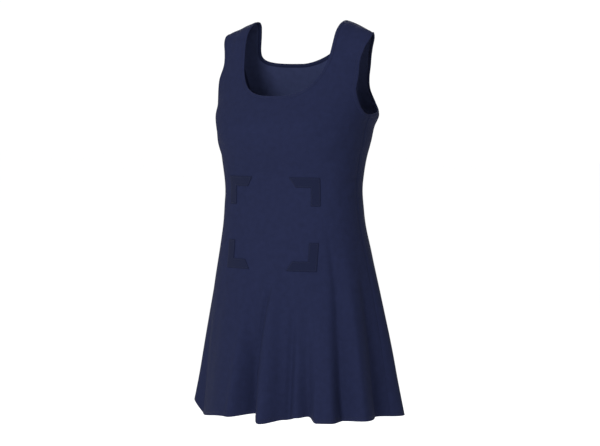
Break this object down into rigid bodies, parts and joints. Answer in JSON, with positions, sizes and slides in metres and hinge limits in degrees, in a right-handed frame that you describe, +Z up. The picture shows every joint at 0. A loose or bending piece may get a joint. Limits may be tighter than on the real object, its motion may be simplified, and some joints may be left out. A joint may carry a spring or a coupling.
{
  "type": "netball dress",
  "caption": "Sleeveless A-line netball dress in navy stretch knit, worn shape with a scoop neck, wide straps, a flared fluted skirt and hook-and-loop corners for a position patch.",
  "frame": {"origin": "where the shoulders carry the dress: midway between the two shoulder seams, at the height of their neck points", "axes": "+Z up the wearer's body, -Y out of the wearer's front, +X to the wearer's left"},
  "size_m": [0.4688, 0.3681, 0.8265],
  "materials": {
    "cloth": "matt double knit",
    "binding": "matt folded knit strip",
    "tape": "matt looped pile"
  },
  "bodies": {
    "root": {"front_panel": "cloth", "back_panel": "cloth", "neck_binding": "binding", "armhole_binding_left": "binding", "armhole_binding_right": "binding", "tape_front_upper_left": "tape", "tape_front_upper_right": "tape", "tape_front_lower_left": "tape", "tape_front_lower_right": "tape", "tape_back_upper_left": "tape", "tape_back_upper_right": "tape", "tape_back_lower_left": "tape", "tape_back_lower_right": "tape"}
  },
  "joints": []
}
